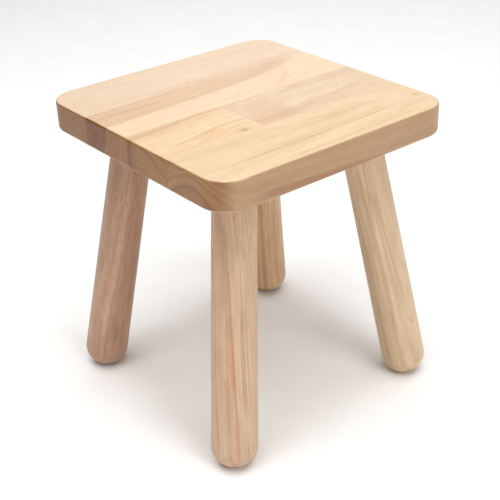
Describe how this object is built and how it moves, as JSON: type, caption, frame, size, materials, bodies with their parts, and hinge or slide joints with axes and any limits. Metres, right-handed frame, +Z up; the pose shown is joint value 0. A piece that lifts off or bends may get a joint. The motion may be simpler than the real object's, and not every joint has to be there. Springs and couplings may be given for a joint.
{
  "type": "four-legged wooden stool",
  "caption": "Small low stool with a thick, almost square, round-cornered seat glued up from pale wooden staves, and stout turned legs that splay outwards to rounded feet.",
  "frame": {"origin": "on the floor, below the middle of the seat", "axes": "+Z up; -Y is the front; the staves lie side by side along X and their grain runs along Y"},
  "size_m": [0.25, 0.2476, 0.276],
  "materials": {
    "seat_wood": "rubberwood, sanded, thin clear satin lacquer",
    "leg_wood": "rubberwood, turned and sanded, thin clear satin lacquer",
    "zinc_plated_steel": "bright zinc plate"
  },
  "bodies": {
    "root": {"seat_stave_left": "seat_wood", "seat_stave_centre_left": "seat_wood", "seat_stave_centre_right_front": "seat_wood", "seat_stave_centre_right_rear": "seat_wood", "seat_stave_right": "seat_wood", "leg_front_left": "leg_wood", "leg_front_right": "leg_wood", "leg_rear_left": "leg_wood", "leg_rear_right": "leg_wood", "hanger_bolt_front_left": "zinc_plated_steel", "hanger_bolt_front_right": "zinc_plated_steel", "hanger_bolt_rear_left": "zinc_plated_steel", "hanger_bolt_rear_right": "zinc_plated_steel", "threaded_insert_front_left": "zinc_plated_steel", "threaded_insert_front_right": "zinc_plated_steel", "threaded_insert_rear_left": "zinc_plated_steel", "threaded_insert_rear_right": "zinc_plated_steel"}
  },
  "joints": []
}
